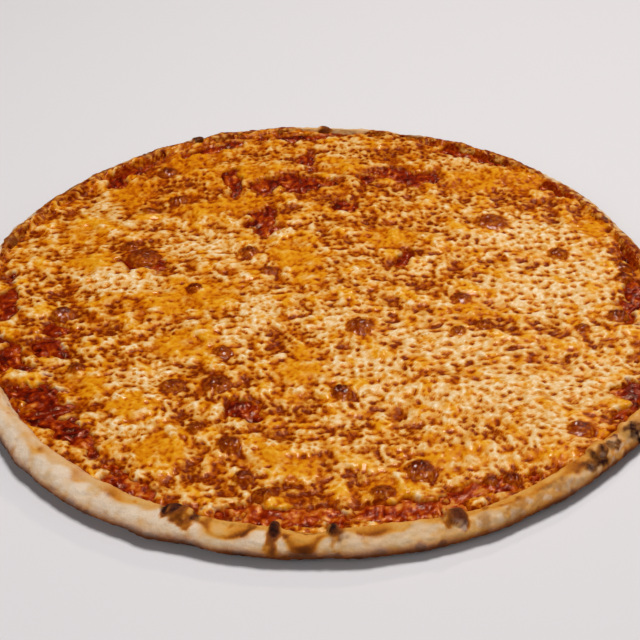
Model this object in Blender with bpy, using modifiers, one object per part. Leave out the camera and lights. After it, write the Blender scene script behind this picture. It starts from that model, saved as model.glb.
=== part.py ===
"""Thin crust cheese pizza, 300 mm across, baked whole and uncut.

Three pieces lie on each other: the dough base with its puffed rim, a sheet of tomato sauce, and a sheet
of melted cheese that leaves the sauce bare in patches. Metres, +Z up. The origin is the middle of the
flat underside, and angles run anticlockwise from +X, seen from above.
"""

import math

import bmesh
import bpy
from mathutils import Vector, noise

MM = 0.001

# Driving dimensions
PIZZA_RADIUS = 150 * MM
BASE_THICKNESS = 3.5 * MM
RIM_WIDTH = 10.4 * MM
RIM_HEIGHT = 9.8 * MM
SAUCE_THICKNESS = 1.4 * MM
CHEESE_THICKNESS = 2.2 * MM
LAYER_GAP = 0.3 * MM

# Waves round the pizza: how many in a turn, size, and the angle of a crest in degrees
OUTLINE_WAVES = ((2, 1.3 * MM, -26), (3, 1.1 * MM, -2), (4, 1.0 * MM, -36), (6, 0.8 * MM, -16))
RIM_WIDTH_WAVES = (
    (1, 3.6 * MM, 265),
    (2, 0.9 * MM, 61),
    (3, 1.4 * MM, 4),
    (4, 1.6 * MM, 44),
    (13, 0.4 * MM, 9),
)
RIM_HEIGHT_WAVES = ((1, 1.4 * MM, 240), (4, 0.3 * MM, 50), (7, 0.35 * MM, 12), (12, 0.25 * MM, 3))
SAUCE_EDGE_WAVES = ((6, 0.15 * MM, 12), (11, 0.15 * MM, 4))
CHEESE_EDGE_WAVES = ((7, 0.3 * MM, 18), (12, 0.3 * MM, 3), (19, 0.3 * MM, 7))

# How far inside the foot of the rim the sauce and the cheese end: the cheese climbs the slope
SAUCE_INSET = 0.1 * MM
CHEESE_INSET = -0.7 * MM

# The dough: facets round the pizza and across the rim, and how much of the rim's width each curve takes
TURN_STEPS = 120
UNDER_STEPS = 4
BELLY_STEPS = 4
SLOPE_STEPS = 5
UNDER_SHARE = 0.88
BELLY_SHARE = 0.58

# The lumps of the baked rim, and the shares of the rim over which its height and outer side change
DOUGH_LUMP_SIZE = 15 * MM
DOUGH_LUMP_DEPTH = 0.9 * MM
RISING_SHARE = 0.3
OUTER_SHARE = 0.4

# Blisters of the rim: angle in degrees, distance in from the outer edge, half width, half length, height
RIM_BLISTERS = (
    (248.0, 10.4 * MM, 5.2 * MM, 5.2 * MM, 3.4 * MM),
    (262.8, 9.2 * MM, 2.6 * MM, 5.2 * MM, 2.2 * MM),
    (271.4, 8.8 * MM, 2.6 * MM, 4.8 * MM, 2.6 * MM),
    (289.8, 7.0 * MM, 4.4 * MM, 4.2 * MM, 2.8 * MM),
    (316.2, 6.4 * MM, 5.6 * MM, 4.0 * MM, 2.2 * MM),
    (323.0, 5.0 * MM, 4.2 * MM, 3.4 * MM, 2.2 * MM),
    (161.0, 4.6 * MM, 4.0 * MM, 3.0 * MM, 1.5 * MM),
    (113.5, 3.4 * MM, 3.4 * MM, 2.6 * MM, 1.2 * MM),
    (88.5, 2.8 * MM, 3.2 * MM, 2.2 * MM, 1.2 * MM),
    (14.0, 4.4 * MM, 3.8 * MM, 3.0 * MM, 2.0 * MM),
)

# Where the cheese stops short of the rim and the sauce shows: angle and half spread in degrees, depth
CHEESE_BAYS = (
    (204, 11, 13 * MM),
    (180, 8, 5 * MM),
    (133, 10, 9 * MM),
    (70, 9, 4 * MM),
    (38, 8, 5 * MM),
    (331, 7, 9 * MM),
    (286, 9, 4 * MM),
    (264, 8, 4.5 * MM),
)

# Holes in the cheese that leave the sauce bare: x, y, half length, half width, turn in degrees
BARE_PATCHES = (
    (42 * MM, 101 * MM, 12 * MM, 6 * MM, -12),
    (-12 * MM, 97 * MM, 11 * MM, 5 * MM, 8),
    (-26 * MM, 66 * MM, 7.5 * MM, 6 * MM, 80),
    (13 * MM, 75 * MM, 5 * MM, 4 * MM, 60),
    (-28 * MM, -72 * MM, 9 * MM, 4.5 * MM, -35),
    (-112 * MM, -24 * MM, 8 * MM, 5 * MM, 60),
    (39 * MM, 32 * MM, 5 * MM, 3.5 * MM, 70),
)

# Blisters of the cheese: x, y, half width, height above the sheet
CHEESE_BLISTERS = (
    (-110 * MM, -4 * MM, 4.6 * MM, 2.0 * MM),
    (-54 * MM, 13 * MM, 3.6 * MM, 1.6 * MM),
    (-78 * MM, 37 * MM, 6.8 * MM, 1.8 * MM),
    (-78 * MM, 73 * MM, 4.0 * MM, 2.1 * MM),
    (-66 * MM, 83 * MM, 3.8 * MM, 1.9 * MM),
    (-72 * MM, 108 * MM, 4.0 * MM, 1.9 * MM),
    (-31 * MM, 39 * MM, 4.2 * MM, 1.8 * MM),
    (-22 * MM, 25 * MM, 3.2 * MM, 1.5 * MM),
    (17 * MM, -17 * MM, 6.0 * MM, 1.8 * MM),
    (8 * MM, -60 * MM, 4.6 * MM, 2.0 * MM),
    (-60 * MM, -53 * MM, 4.8 * MM, 1.9 * MM),
    (-42 * MM, -53 * MM, 5.6 * MM, 1.8 * MM),
    (-49 * MM, -80 * MM, 3.8 * MM, 1.8 * MM),
    (-36 * MM, -90 * MM, 5.0 * MM, 2.2 * MM),
    (-30 * MM, -108 * MM, 4.0 * MM, 2.4 * MM),
    (-22 * MM, -118 * MM, 4.2 * MM, 2.0 * MM),
    (37 * MM, -106 * MM, 6.2 * MM, 2.6 * MM),
    (71 * MM, -111 * MM, 3.8 * MM, 2.4 * MM),
    (22 * MM, -118 * MM, 4.6 * MM, 2.0 * MM),
    (101 * MM, -84 * MM, 5.0 * MM, 2.2 * MM),
    (107 * MM, 34 * MM, 4.6 * MM, 2.0 * MM),
    (69 * MM, -17 * MM, 3.8 * MM, 1.6 * MM),
    (80 * MM, 59 * MM, 7.4 * MM, 1.8 * MM),
    (-100 * MM, -42 * MM, 3.8 * MM, 1.6 * MM),
    (126 * MM, -13 * MM, 4.2 * MM, 1.8 * MM),
    (61 * MM, 2 * MM, 4.0 * MM, 1.4 * MM),
)

# The sheets of sauce and cheese: cells across, height kept at the rounded edge, and relief
SAUCE_CELLS = 24
CHEESE_CELLS = 46
EDGE_ROUNDING = 5 * MM
EDGE_SHARE = 0.4
SAUCE_RELIEF = ((13 * MM, 0.35 * MM),)
CHEESE_RELIEF = ((34 * MM, 0.5 * MM), (12 * MM, 0.55 * MM))

# Blisters, in shares of their own size: sunk, half height, wobble, and the bay that the cheese leaves
BLISTER_SUNK = 0.35
BLISTER_RISE = 1.3
BLISTER_LENGTH = 0.9
BLISTER_WOBBLE = 0.12
BLISTER_ROOM = 1.3
BLISTER_BAY = 1.8
WOBBLE_SIZE = 10 * MM

# Cutters of the bare patches, with lobes as waves round the outline: how many, and their size
CUTTER_SIDES = 22
CUTTER_DEPTH = 12 * MM
CUTTER_LOBES = ((3, 0.16), (5, 0.09))
SHARP_EDGE = math.radians(50)


def waves(angle, terms):
    """The sum of the cosine waves at this angle round the pizza."""
    return sum(size * math.cos(count * (angle - math.radians(crest))) for count, size, crest in terms)


def outer_radius(angle):
    return PIZZA_RADIUS + waves(angle, OUTLINE_WAVES)


def rim_width(angle):
    return RIM_WIDTH + waves(angle, RIM_WIDTH_WAVES)


def rim_height(angle):
    return RIM_HEIGHT + waves(angle, RIM_HEIGHT_WAVES)


def sauce_radius(angle):
    """The sauce runs to the foot of the rim."""
    return outer_radius(angle) - rim_width(angle) - SAUCE_INSET + waves(angle, SAUCE_EDGE_WAVES)


def cheese_radius(angle):
    """The cheese runs on to the slope of the rim, with a bay wherever the sauce or a rim blister shows."""
    inset = rim_width(angle) + CHEESE_INSET - waves(angle, CHEESE_EDGE_WAVES)
    for middle, spread, depth in CHEESE_BAYS:
        away = math.remainder(angle - math.radians(middle), math.tau) / math.radians(spread)
        inset += depth * math.exp(-away * away)
    for middle, inward, half_width, half_length, height in RIM_BLISTERS:
        away = math.remainder(angle - math.radians(middle), math.tau) * PIZZA_RADIUS / half_width
        reach = inward + BLISTER_ROOM * half_length - inset
        inset += max(0.0, reach) * math.exp(-away * away / BLISTER_BAY ** 2)
    return outer_radius(angle) - inset


def relief(point, terms):
    """Smooth lumps: noise of each size, as high as its depth."""
    return sum(depth * noise.noise(Vector((point.x / size, point.y / size, size))) for size, depth in terms)


def polar(angle, radius, z=0.0):
    return Vector((radius * math.cos(angle), radius * math.sin(angle), z))


def material(name, colour, roughness):
    made = bpy.data.materials.new(name)
    made.use_nodes = True
    made.diffuse_color = colour
    shader = made.node_tree.nodes["Principled BSDF"]
    shader.inputs["Base Color"].default_value = colour
    shader.inputs["Roughness"].default_value = roughness
    shader.inputs["Metallic"].default_value = 0.0
    return made


def new_object(name, mesh, collection, finish=None):
    made = bpy.data.objects.new(name, mesh)
    collection.objects.link(made)
    if finish:
        mesh.materials.append(finish)
    return made


def applied(obj):
    """The object with its modifiers made part of its mesh."""
    bpy.context.view_layer.update()
    mesh = bpy.data.meshes.new_from_object(obj.evaluated_get(bpy.context.evaluated_depsgraph_get()))
    obj.modifiers.clear()
    obj.data = mesh
    return obj


def boolean(obj, tools, operation):
    """Joins or cuts obj with every object of the collection, which is then removed."""
    modifier = obj.modifiers.new(operation.lower(), "BOOLEAN")
    modifier.operation = operation
    modifier.operand_type = "COLLECTION"
    modifier.collection = tools
    modifier.solver = "EXACT"
    applied(obj)
    for tool in list(tools.objects):
        bpy.data.objects.remove(tool)
    bpy.data.collections.remove(tools)


def tool_collection(name):
    made = bpy.data.collections.new(name)
    bpy.context.scene.collection.children.link(made)
    return made


def smooth(obj):
    obj.data.shade_smooth()
    obj.data.set_sharp_from_angle(angle=SHARP_EDGE)


def dough_profile():
    """The base's section from the underside out round the rim and back over the floor.

    A wide quarter of an ellipse lifts the edge off the table, a narrow one rounds it over to the crest, and
    a half cosine leads down to the floor.
    """
    under = UNDER_SHARE * RIM_WIDTH
    belly = BELLY_SHARE * RIM_WIDTH
    middle = PIZZA_RADIUS - belly
    foot = PIZZA_RADIUS - RIM_WIDTH
    half = RIM_HEIGHT / 2
    points = [(0, 0)]
    for step in range(UNDER_STEPS):
        turn = math.pi / 2 * (1 - step / UNDER_STEPS)
        points.append((PIZZA_RADIUS - under * (1 - math.cos(turn)), half * (1 - math.sin(turn))))
    for step in range(BELLY_STEPS + 1):
        turn = math.pi / 2 * step / BELLY_STEPS
        points.append((middle + belly * math.cos(turn), half * (1 + math.sin(turn))))
    for step in range(1, SLOPE_STEPS + 1):
        share = step / SLOPE_STEPS
        fall = (1 - math.cos(math.pi * share)) / 2
        points.append((middle + (foot - middle) * share, RIM_HEIGHT + (BASE_THICKNESS - RIM_HEIGHT) * fall))
    points.append((0, BASE_THICKNESS))
    return points


def uneven(point):
    """Moves a point of the round section to where the hand-stretched dough has it."""
    radius = math.hypot(point.x, point.y)
    foot = PIZZA_RADIUS - RIM_WIDTH
    if radius < foot / 2:
        return point
    angle = math.atan2(point.y, point.x)
    new_foot = outer_radius(angle) - rim_width(angle)
    across = max(0.0, radius - foot) / RIM_WIDTH
    new_radius = min(radius / foot, 1.0) * new_foot + across * rim_width(angle)
    higher = (rim_height(angle) / RIM_HEIGHT - 1) * min(1.0, across / RISING_SHARE)
    z = point.z * (1 + higher)
    lump = DOUGH_LUMP_DEPTH * noise.noise(polar(angle, new_radius, z) / DOUGH_LUMP_SIZE)
    outward = max(0.0, 1 - (1 - across) / OUTER_SHARE)
    rising = min(1.0, across / RISING_SHARE) * z / RIM_HEIGHT
    return polar(angle, new_radius + lump * outward, z + lump * rising * (1 - outward / 2))


def blister(name, tools, place, half_x, half_y, height, turn, lowest=0.0):
    """A flattened ball, turned about Z, with its middle at place, cut off flat at the lowest height."""
    shape = bmesh.new()
    bmesh.ops.create_icosphere(shape, subdivisions=2, radius=1)
    for vertex in shape.verts:
        x, y, z = vertex.co
        wobble = 1 + BLISTER_WOBBLE * noise.noise(vertex.co + place / WOBBLE_SIZE)
        east, north = x * half_x * wobble, y * half_y * wobble
        vertex.co = place + Vector(
            (
                east * math.cos(turn) - north * math.sin(turn),
                east * math.sin(turn) + north * math.cos(turn),
                max(z * height * wobble, lowest - place.z),
            )
        )
    mesh = bpy.data.meshes.new(name)
    shape.to_mesh(mesh)
    shape.free()
    new_object(name, mesh, tools)


def make_crust(parts):
    """The dough: a turned section made uneven, with the blisters of its rim fused on."""
    profile = bpy.data.meshes.new("dough_section")
    points = dough_profile()
    edges = [(i, i + 1) for i in range(len(points) - 1)]
    profile.from_pydata([(r, 0, z) for r, z in reversed(points)], edges, [])
    crust = new_object("crust", profile, parts)
    screw = crust.modifiers.new("turn", "SCREW")
    screw.axis = "Z"
    screw.steps = screw.render_steps = TURN_STEPS
    screw.use_merge_vertices = True
    screw.merge_threshold = 0.0001 * MM
    applied(crust)
    for vertex in crust.data.vertices:
        vertex.co = uneven(vertex.co)
    over_sauce = BASE_THICKNESS + SAUCE_THICKNESS + 2 * LAYER_GAP
    tools = tool_collection("rim_blisters")
    for number, (degrees, inward, half_width, half_length, height) in enumerate(RIM_BLISTERS):
        angle = math.radians(degrees)
        share = max(0.0, inward / rim_width(angle) - BELLY_SHARE) / (1 - BELLY_SHARE)
        fall = (1 - math.cos(math.pi * share)) / 2
        top = rim_height(angle) + (BASE_THICKNESS - rim_height(angle)) * fall
        place = polar(angle, outer_radius(angle) - inward, top - BLISTER_SUNK * height)
        rise = height * BLISTER_RISE
        blister(f"rim_blister_{number}", tools, place, half_length, half_width, rise, angle, over_sauce)
    boolean(crust, tools, "UNION")
    crust.data.materials.clear()
    crust.data.materials.append(material("baked dough", (0.72, 0.50, 0.27, 1), 0.75))
    smooth(crust)


def disc_point(across, along):
    """The angle and share of the radius, on a round disc, of a point of the square from -1 to 1."""
    if abs(across) > abs(along):
        radius, angle = across, math.pi / 4 * along / across
    elif along:
        radius, angle = along, math.pi / 2 - math.pi / 4 * across / along
    else:
        radius, angle = 0.0, 0.0
    return math.atan2(radius * math.sin(angle), radius * math.cos(angle)), abs(radius)


def make_sheet(name, parts, finish, cells, edge_radius, floor, thickness, terms, raised):
    """A closed sheet with a flat underside, a rounded edge and a lumpy top, which only sinks if not raised."""
    shape = bmesh.new()
    bmesh.ops.create_grid(shape, x_segments=cells, y_segments=cells, size=1)
    rim = [edge for edge in shape.edges if edge.is_boundary]
    for vertex in shape.verts:
        angle, share = disc_point(vertex.co.x, vertex.co.y)
        edge = edge_radius(angle)
        inside = min(1.0, (1 - share) * edge / EDGE_ROUNDING)
        height = thickness * (EDGE_SHARE + (1 - EDGE_SHARE) * math.sqrt(1 - (1 - inside) ** 2))
        spot = polar(angle, share * edge)
        lump = relief(spot, terms) * inside
        spot.z = floor + height + (lump if raised else -abs(lump))
        vertex.co = spot
    wall = bmesh.ops.extrude_edge_only(shape, edges=rim)["geom"]
    lower = [item for item in wall if isinstance(item, bmesh.types.BMVert)]
    for vertex in lower:
        vertex.co.z = floor
    bmesh.ops.holes_fill(shape, edges=[edge for edge in shape.edges if edge.is_boundary], sides=0)
    bmesh.ops.recalc_face_normals(shape, faces=shape.faces)
    mesh = bpy.data.meshes.new(name)
    shape.to_mesh(mesh)
    shape.free()
    return new_object(name, mesh, parts, finish)


def make_sauce(parts):
    """Tomato sauce spread on the dough's floor up to the rim."""
    finish = material("baked tomato sauce", (0.36, 0.045, 0.012, 1), 0.35)
    floor = BASE_THICKNESS + LAYER_GAP
    size = (floor, SAUCE_THICKNESS, SAUCE_RELIEF)
    smooth(make_sheet("tomato_sauce", parts, finish, SAUCE_CELLS, sauce_radius, *size, raised=False))


def make_cheese(parts):
    """Melted cheese over the sauce, with its toasted blisters fused on and its bare patches cut out."""
    finish = material("melted mozzarella", (0.80, 0.46, 0.16, 1), 0.4)
    floor = BASE_THICKNESS + SAUCE_THICKNESS + 2 * LAYER_GAP
    size = (floor, CHEESE_THICKNESS, CHEESE_RELIEF)
    cheese = make_sheet("melted_cheese", parts, finish, CHEESE_CELLS, cheese_radius, *size, raised=True)
    top = floor + CHEESE_THICKNESS
    sunk = floor + 0.25 * CHEESE_THICKNESS
    tools = tool_collection("cheese_blisters")
    for number, (x, y, half_width, height) in enumerate(CHEESE_BLISTERS):
        place = Vector((x, y, top + relief(Vector((x, y, 0)), CHEESE_RELIEF) - BLISTER_SUNK * height))
        half_length = BLISTER_LENGTH * half_width
        rise = height * BLISTER_RISE
        blister(f"cheese_blister_{number}", tools, place, half_width, half_length, rise, x / MM, sunk)
    boolean(cheese, tools, "UNION")
    tools = tool_collection("bare_patches")
    for number, (x, y, half_length, half_width, degrees) in enumerate(BARE_PATCHES):
        bare_patch(f"bare_patch_{number}", tools, Vector((x, y, floor)), half_length, half_width, degrees)
    boolean(cheese, tools, "DIFFERENCE")
    smooth(cheese)


def bare_patch(name, tools, place, half_length, half_width, degrees):
    """An upright prism with a lobed outline, taller than the cheese: the cutter of one hole."""
    shape = bmesh.new()
    size = {"radius1": 1, "radius2": 1, "depth": CUTTER_DEPTH}
    bmesh.ops.create_cone(shape, cap_ends=True, segments=CUTTER_SIDES, **size)
    turn = math.radians(degrees)
    for vertex in shape.verts:
        around = math.atan2(vertex.co.y, vertex.co.x)
        lobes = 1 + sum(size * math.cos(count * around + turn) for count, size in CUTTER_LOBES)
        east, north = half_length * lobes * math.cos(around), half_width * lobes * math.sin(around)
        vertex.co.x = place.x + east * math.cos(turn) - north * math.sin(turn)
        vertex.co.y = place.y + east * math.sin(turn) + north * math.cos(turn)
        vertex.co.z += place.z
    mesh = bpy.data.meshes.new(name)
    shape.to_mesh(mesh)
    shape.free()
    new_object(name, mesh, tools)


def main():
    for obj in list(bpy.data.objects):
        bpy.data.objects.remove(obj)
    parts = bpy.data.collections.new("thin_crust_pizza")
    bpy.context.scene.collection.children.link(parts)
    make_crust(parts)
    make_sauce(parts)
    make_cheese(parts)


main()
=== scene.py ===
"""A whole thin crust cheese pizza: floury dough with a toasted rim, tomato sauce and browned mozzarella.

Lengths are millimetres until they go into a mesh, and angles run anticlockwise from +X, seen from above.
"""

import bpy
import numpy as np
from mathutils import Matrix, Vector


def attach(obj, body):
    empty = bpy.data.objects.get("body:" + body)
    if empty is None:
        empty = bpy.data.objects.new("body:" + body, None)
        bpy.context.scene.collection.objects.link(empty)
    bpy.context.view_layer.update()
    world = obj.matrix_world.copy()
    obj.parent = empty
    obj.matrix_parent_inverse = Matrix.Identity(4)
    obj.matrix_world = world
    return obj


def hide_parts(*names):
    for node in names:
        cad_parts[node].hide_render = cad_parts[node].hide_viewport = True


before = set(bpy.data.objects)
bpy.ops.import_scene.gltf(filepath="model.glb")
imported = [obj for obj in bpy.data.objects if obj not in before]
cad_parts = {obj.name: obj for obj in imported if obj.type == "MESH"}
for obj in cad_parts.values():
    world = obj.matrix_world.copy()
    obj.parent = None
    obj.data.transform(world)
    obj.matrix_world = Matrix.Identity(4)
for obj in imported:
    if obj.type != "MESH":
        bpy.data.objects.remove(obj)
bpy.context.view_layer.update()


# The dough base.
# Wheat dough stretched by hand to a thin disc, with a puffed rim left round it. It is dusted with flour
# and baked on stone, so the rim is chalky outside, golden along its inner lip and charred at its blisters.

PIZZA_RADIUS = 150
BASE_THICKNESS = 3.5
RIM_WIDTH = 10.4
RIM_HEIGHT = 9.8

# How far in from the outer edge the crest lies and the underside lifts off, as shares of the rim's width
BELLY_SHARE = 0.58
UNDER_SHARE = 0.88

# Waves round the pizza: how many in a turn, size, and the angle of a crest
OUTLINE_WAVES = ((2, 1.3, -26), (3, 1.1, -2), (4, 1.0, -36), (6, 0.8, -16))
RIM_WIDTH_WAVES = ((1, 3.6, 265), (2, 0.9, 61), (3, 1.4, 4), (4, 1.6, 44), (13, 0.4, 9))
RIM_HEIGHT_WAVES = ((1, 1.4, 240), (4, 0.3, 50), (7, 0.35, 12), (12, 0.25, 3))

# The mesh of the dough: places round the pizza, then rows from the middle of the underside to the floor's
DOUGH_COLUMNS = 1200
UNDER_ROWS = 12
LIFT_ROWS = 12
BELLY_ROWS = 20
SLOPE_ROWS = 18
FLOOR_ROWS = 5

# The sides of the rim that are the most golden, floury and smoky, in degrees; the smoky side also gets
# painted shade
GOLDEN_SIDE = 290
FLOURY_SIDE = 220
SMOKY_SHADED_SIDE = 306

# Ripples of the dough: wavelength in millimetres, height, seed
DOUGH_LUMPS = ((26, 0.18, 31), (11, 0.15, 32))
DOUGH_GRAIN = ((3.4, 0.10, 33), (1.9, 0.05, 34))
MARK_WOBBLE = ((6, 0.20, 35), (3, 0.12, 36))
FLOUR_PATCHES = ((10, 0.22, 40), (4, 0.15, 41))
STAIN_WOBBLE = ((8, 0.09, 43), (4, 0.05, 46))

# Blisters of the rim: angle, distance in from the outer edge, half width, half length, height
RIM_BLISTERS = (
    (248.0, 11.0, 6.4, 5.6, 2.2),
    (262.8, 9.8, 2.6, 5.4, 2.3),
    (271.4, 9.8, 2.8, 5.0, 2.5),
    (289.8, 6.8, 4.6, 4.2, 2.6),
    (316.2, 6.4, 5.6, 4.0, 1.9),
    (323.0, 5.0, 4.2, 3.4, 1.9),
    (161.0, 4.6, 4.0, 3.0, 1.4),
    (113.5, 3.4, 3.4, 2.6, 1.1),
    (88.5, 2.8, 3.2, 2.2, 0.8),
)

# Where the rim puffed up more along its inner side, at one share of its width and with one spread across
# it: angle, half spread, height
SWELL_PLACE = 0.72
SWELL_SPREAD = 0.26
RIM_SWELLS = (
    (279.5, 6.5, 2.0),
    (256.0, 5.0, 1.9),
    (238.0, 9.0, 1.3),
    (222.0, 8.0, 1.3),
    (303.0, 10.0, 0.7),
    (267.0, 3.2, 0.8),
)

# Where the lip lies as a share of the rim's width, and how deep it would dip at a scallop of share 1
LIP_PLACE = 0.52
LIP_DIP = 4.0

# Scallops between the blisters, where the lip dips and its golden edge hangs down by a share of the rim's
# width: angle, half spread, that share
SCALLOPS = (
    (255.6, 4.2, 0.42),
    (267.1, 3.0, 0.52),
    (278.0, 4.2, 0.20),
    (299.0, 7.0, 0.20),
    (310.0, 5.0, 0.16),
    (239.0, 4.0, 0.14),
    (230.5, 3.0, 0.10),
    (221.0, 4.5, 0.18),
    (208.0, 5.0, 0.16),
    (196.0, 6.0, 0.20),
    (333.0, 5.0, 0.20),
    (350.0, 8.0, 0.14),
)

# Toasted marks of the rim: angle, distance in from the outer edge, half width, half length, strength
RIM_TOAST = (
    (248.2, 10.0, 7.4, 6.8, 0.60),
    (249.8, 7.4, 3.4, 3.6, 0.54),
    (246.2, 8.0, 2.0, 3.4, 0.66),
    (262.8, 6.0, 3.3, 13.0, 0.58),
    (271.8, 7.9, 3.5, 5.4, 0.58),
    (289.5, 6.2, 5.6, 5.0, 0.60),
    (88.5, 2.8, 4.0, 3.2, 0.60),
    (298.0, 4.0, 12.0, 3.6, 0.22),
    (291.0, 1.5, 14.0, 4.0, 0.24),
    (303.0, 1.5, 16.0, 4.5, 0.28),
    (318.0, 1.0, 20.0, 5.0, 0.32),
    (330.0, 1.0, 14.0, 4.5, 0.36),
    (300.0, 3.0, 8.0, 3.0, 0.30),
    (307.0, 4.0, 9.0, 3.0, 0.24),
    (315.0, 4.0, 13.0, 4.8, 0.36),
    (326.0, 4.5, 12.0, 4.2, 0.30),
    (338.0, 5.0, 8.0, 5.0, 0.36),
    (229.5, 9.5, 4.4, 2.4, 0.20),
    (224.0, 11.5, 5.0, 2.6, 0.22),
    (218.0, 8.0, 3.4, 1.8, 0.22),
    (236.0, 11.5, 6.0, 2.2, 0.20),
    (211.0, 9.0, 6.0, 3.2, 0.22),
    (203.0, 7.0, 8.0, 4.0, 0.25),
    (194.0, 7.0, 8.0, 4.0, 0.32),
    (345.0, 6.0, 12.0, 4.0, 0.34),
    (2.0, 5.0, 9.0, 4.0, 0.36),
    (161.0, 4.6, 4.6, 3.4, 0.60),
    (172.0, 6.0, 9.0, 4.0, 0.36),
)

# Scorched marks of the rim, grey brown to black: angle, distance in, half width, half length, strength
RIM_SCORCH = (
    (246.6, 9.6, 5.0, 3.2, 0.90),
    (250.6, 9.2, 2.6, 2.6, 0.85),
    (247.2, 8.4, 1.8, 3.6, 0.62),
    (250.2, 8.0, 1.2, 3.0, 0.46),
    (262.8, 7.8, 2.8, 3.4, 0.82),
    (262.9, 4.0, 2.0, 8.0, 0.48),
    (271.4, 7.8, 2.8, 4.6, 0.86),
    (272.6, 4.6, 2.5, 3.4, 0.74),
    (289.8, 6.0, 3.2, 2.8, 0.72),
    (287.8, 8.2, 1.6, 2.0, 0.58),
    (299.5, 3.0, 5.0, 2.0, 0.34),
    (305.4, 4.4, 6.0, 1.5, 0.62),
    (308.0, 2.4, 3.0, 1.2, 0.40),
    (311.5, 4.0, 4.0, 2.4, 0.40),
    (314.6, 3.0, 8.0, 4.6, 0.82),
    (319.0, 4.2, 5.0, 2.4, 0.75),
    (323.5, 2.4, 6.0, 3.0, 0.90),
    (296.0, 1.0, 8.0, 1.6, 0.26),
    (309.0, 0.6, 9.0, 2.0, 0.30),
    (329.0, 2.6, 4.0, 1.8, 0.50),
    (113.5, 4.0, 4.2, 2.6, 0.80),
    (124.0, 3.4, 7.0, 1.6, 0.60),
    (133.0, 3.6, 5.0, 1.6, 0.50),
    (142.0, 3.4, 6.0, 1.4, 0.55),
    (152.0, 3.8, 5.0, 1.5, 0.45),
    (88.0, 3.4, 3.2, 2.0, 0.40),
    (70.0, 3.0, 6.0, 1.4, 0.55),
    (47.0, 3.4, 5.0, 1.6, 0.50),
    (24.5, 4.6, 2.4, 1.6, 0.80),
    (9.0, 1.6, 2.4, 1.4, 0.60),
    (161.0, 5.0, 3.6, 2.6, 0.60),
)

# Where cheese and sauce ran over the rim: angle, half spread, how much of the rim's width they cover
OVERRUNS = (
    (128, 26, 0.95),
    (104, 12, 0.90),
    (72, 9, 0.55),
    (56, 14, 0.95),
    (34, 14, 0.80),
    (10, 18, 0.85),
    (158, 12, 0.60),
    (175, 8, 0.35),
)

# Small black bubbles of burnt flour, all of one height: angle, distance in, half width
BUBBLE_HEIGHT = 0.8
CHAR_BUBBLES = (
    (314.6, 5.4, 1.5),
    (316.4, 4.8, 1.9),
    (318.6, 5.2, 1.8),
    (318.8, 2.8, 1.5),
    (320.6, 6.0, 1.3),
    (323.2, 2.4, 1.9),
    (325.4, 2.0, 1.5),
    (324.2, 5.0, 1.2),
    (113.0, 5.0, 1.1),
    (125.0, 4.8, 1.2),
)

# Each field of the dough at the middle of its underside and at the middle of its floor
POLE_VALUES = {"bake_and_foot_shade": (0.4, 0.2), "scorch_and_shade": (0, 0), "flour": (0.2, 0), "stain": (0, 1)}

# Colours of the crust from raw to burnt, whose dark end also serves as painted shade at the rim's foot, of
# jam and cheese that ran on to it, and of scorched spots
BAKE_AND_SHADE_COLOURS = (
    (0.0, "#E2BC86"),
    (0.14, "#DCAC6E"),
    (0.28, "#DC9E48"),
    (0.40, "#CC8024"),
    (0.52, "#A65A12"),
    (0.66, "#74380A"),
    (1.0, "#441E06"),
)
STAIN_COLOURS = (
    (0.3, "#5C1200"),
    (0.42, "#8C3204"),
    (0.52, "#B05E10"),
    (0.62, "#D48E34"),
    (0.75, "#E8B878"),
)
# The scorch colours also paint shade on the rim's right front
SCORCH_AND_SHADE_COLOURS = ((0.2, "#94582C"), (0.45, "#723A1E"), (0.7, "#481E12"), (0.9, "#260E0A"))
FLOUR_COLOUR = "#EDD9C2"


def waves(angle, terms):
    """The sum of cosine waves size * cos(count * (angle - crest)) at each angle, in radians."""
    return sum(size * np.cos(count * (angle - np.radians(crest))) for count, size, crest in terms)


def ripples(places, length, seed, spread=0.25, count=48):
    """Smooth lumps about half a wavelength wide and one unit high: many plane waves of random direction.

    places holds the coordinates x, y and, where it matters, z. Each wave is cos(k . place + phase), where
    k's size is 2 pi over the length, give or take the spread.
    """
    draw = np.random.default_rng(seed)
    heading = draw.normal(size=(count, len(places)))
    heading /= np.linalg.norm(heading, axis=1)[:, None]
    wave = heading * (2 * np.pi / length * draw.uniform(1 - spread, 1 + spread, count))[:, None]
    phase = draw.uniform(0, 2 * np.pi, count)
    total = np.zeros(places[0].shape)
    for direction, start in zip(wave, phase):
        total += np.cos(sum(k * place for k, place in zip(direction, places)) + start)
    return total * np.sqrt(2 / count)


def layered(places, layers):
    """The sum of several ripples, each with its own wavelength, height and seed."""
    return sum(height * ripples(places, length, seed) for length, height, seed in layers)


def step(value, low, high):
    """0 below low, 1 above high, and 3 t^2 - 2 t^3 between them."""
    share = np.clip((value - low) / (high - low), 0, 1)
    return share * share * (3 - 2 * share)


def dome(distance):
    """The height of a half ball at this share of its radius, with its foot rounded out."""
    return np.sqrt(np.clip(1 - distance * distance, 0, 1)) * step(-distance, -1.0, -0.8)


def turn_from(middle, angle):
    """The turn from a middle in degrees to each angle in radians, the short way round, in radians."""
    return (angle - np.radians(middle) + np.pi) % (2 * np.pi) - np.pi


def away_from(angle, inward, middle, distance, half_width, half_length):
    """How far a place on the rim is from a spot's middle, as a share of the spot's half size each way."""
    along = turn_from(middle, angle) * PIZZA_RADIUS / half_width
    return np.hypot(along, (inward - distance) / half_length)


def new_mesh(name, places, faces, fields):
    """A mesh from rows of x, y, z in millimetres, with each field as a number kept at every vertex."""
    mesh = bpy.data.meshes.new(name)
    mesh.from_pydata((places / 1000).tolist(), [], faces)
    for field, values in fields.items():
        mesh.attributes.new(field, "FLOAT", "POINT").data.foreach_set("value", values.astype(np.float32))
    mesh.shade_smooth()
    piece = bpy.data.objects.new(name, mesh)
    bpy.context.scene.collection.objects.link(piece)
    return piece


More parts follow.
